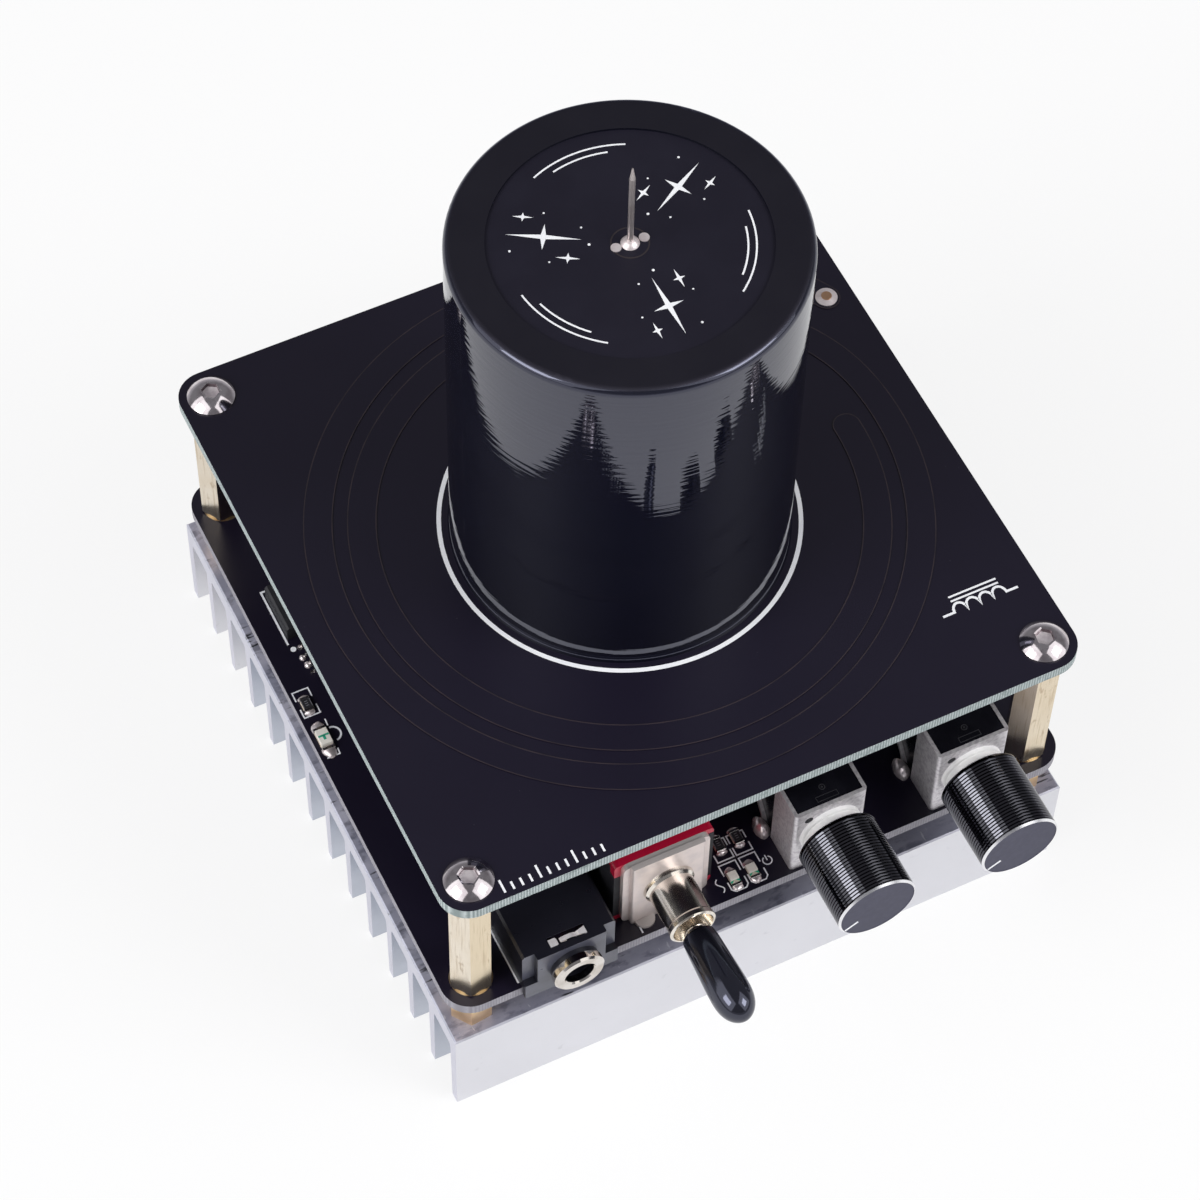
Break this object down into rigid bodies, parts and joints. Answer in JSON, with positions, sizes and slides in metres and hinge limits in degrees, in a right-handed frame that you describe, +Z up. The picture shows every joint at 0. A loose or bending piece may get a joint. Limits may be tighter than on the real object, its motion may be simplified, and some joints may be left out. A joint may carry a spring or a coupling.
{
  "type": "desktop resonant transformer",
  "caption": "Small bench resonant transformer: finned heat sink, driver board with audio socket, toggle switch and knobs, and a raised board with flat winding and upright coil with needle.",
  "frame": {"origin": "middle of the whole footprint, from the toggle's tip to the rear inlet, on the plane that the heat sink's fin tips stand on; the coil's axis is 8.4 mm behind it", "axes": "+Z up along the coil, -Y towards the controls, +X towards the right-hand knob"},
  "size_m": [0.08, 0.098, 0.1086],
  "materials": {
    "extruded_aluminium": "raw extruded, scuffed",
    "copper_plated": "reddish brass",
    "brass_turned": "turned hex bar",
    "board_laminate": "black solder mask",
    "board_mask": "copper under black solder mask",
    "steel_screws": "zinc plated",
    "tinned_copper": "tinned",
    "solder": "bright solder",
    "former_plastic": "plain tube",
    "enamelled_copper": "enamelled wire, fine pitch",
    "sleeve_gloss": "shrunk on, glossy",
    "needle_steel": "bright wire",
    "black_plastic": "moulded",
    "nickel": "nickel plated",
    "red_plastic": "moulded",
    "cap_plastic": "soft cap",
    "led_white": "clear and white",
    "chip_black": "epoxy",
    "capacitor_sleeve": "printed-free sleeve",
    "film_red": "moulded box",
    "pad_rubber": "soft pad",
    "shaft_aluminium": "turned",
    "knob_aluminium": "grooved, black anodised"
  },
  "bodies": {
    "base": {"heat_sink": "extruded_aluminium", "base_spacers": "copper_plated", "board_standoffs": "brass_turned", "driver_board": "board_laminate", "primary_board": "board_laminate", "primary_winding": "board_mask", "board_screws": "steel_screws", "mosfet_screws": "steel_screws", "link_posts": "tinned_copper", "link_solder": "solder", "top_solder": "solder", "solder_joints": "solder", "coil_former": "former_plastic", "coil_winding": "enamelled_copper", "coil_sleeve": "sleeve_gloss", "coil_top_disc": "board_laminate", "coil_foot_disc": "board_laminate", "discharge_needle": "needle_steel", "audio_jack_body": "black_plastic", "audio_jack_ring": "nickel", "audio_jack_contacts": "nickel", "toggle_body": "red_plastic", "toggle_frame": "nickel", "toggle_bushing": "nickel", "toggle_pins": "tinned_copper", "status_leds": "led_white", "chip_resistors": "chip_black", "driver_chip": "chip_black", "driver_chip_leads": "tinned_copper", "clamp_diode": "chip_black", "bulk_capacitors": "capacitor_sleeve", "film_capacitor": "film_red", "dc_jack_body": "black_plastic", "dc_jack_contacts": "tinned_copper", "thermal_pads": "pad_rubber", "mosfet_tabs": "tinned_copper", "mosfet_bodies": "chip_black", "left_pot_body": "black_plastic", "left_pot_bracket": "nickel", "left_pot_bushing": "nickel", "left_pot_pins": "tinned_copper", "right_pot_body": "black_plastic", "right_pot_bracket": "nickel", "right_pot_bushing": "nickel", "right_pot_pins": "tinned_copper"},
    "toggle": {"toggle_lever": "nickel", "toggle_cap": "cap_plastic"},
    "left_control": {"left_pot_shaft": "shaft_aluminium", "left_knob": "knob_aluminium"},
    "right_control": {"right_pot_shaft": "shaft_aluminium", "right_knob": "knob_aluminium"}
  },
  "joints": [
    {"name": "toggle_throw", "type": "hinge", "parent": "base", "child": "toggle", "pos_m": [-0.01205, -0.03157, 0.0285], "axis": [1, 0, 0], "range_deg": [-12, 12]},
    {"name": "left_turn", "type": "hinge", "parent": "base", "child": "left_control", "pos_m": [0.00785, -0.03658, 0.0292], "axis": [0, 1, 0], "range_deg": [0, 300]},
    {"name": "right_turn", "type": "hinge", "parent": "base", "child": "right_control", "pos_m": [0.02645, -0.03658, 0.0292], "axis": [0, 1, 0], "range_deg": [0, 300]}
  ]
}
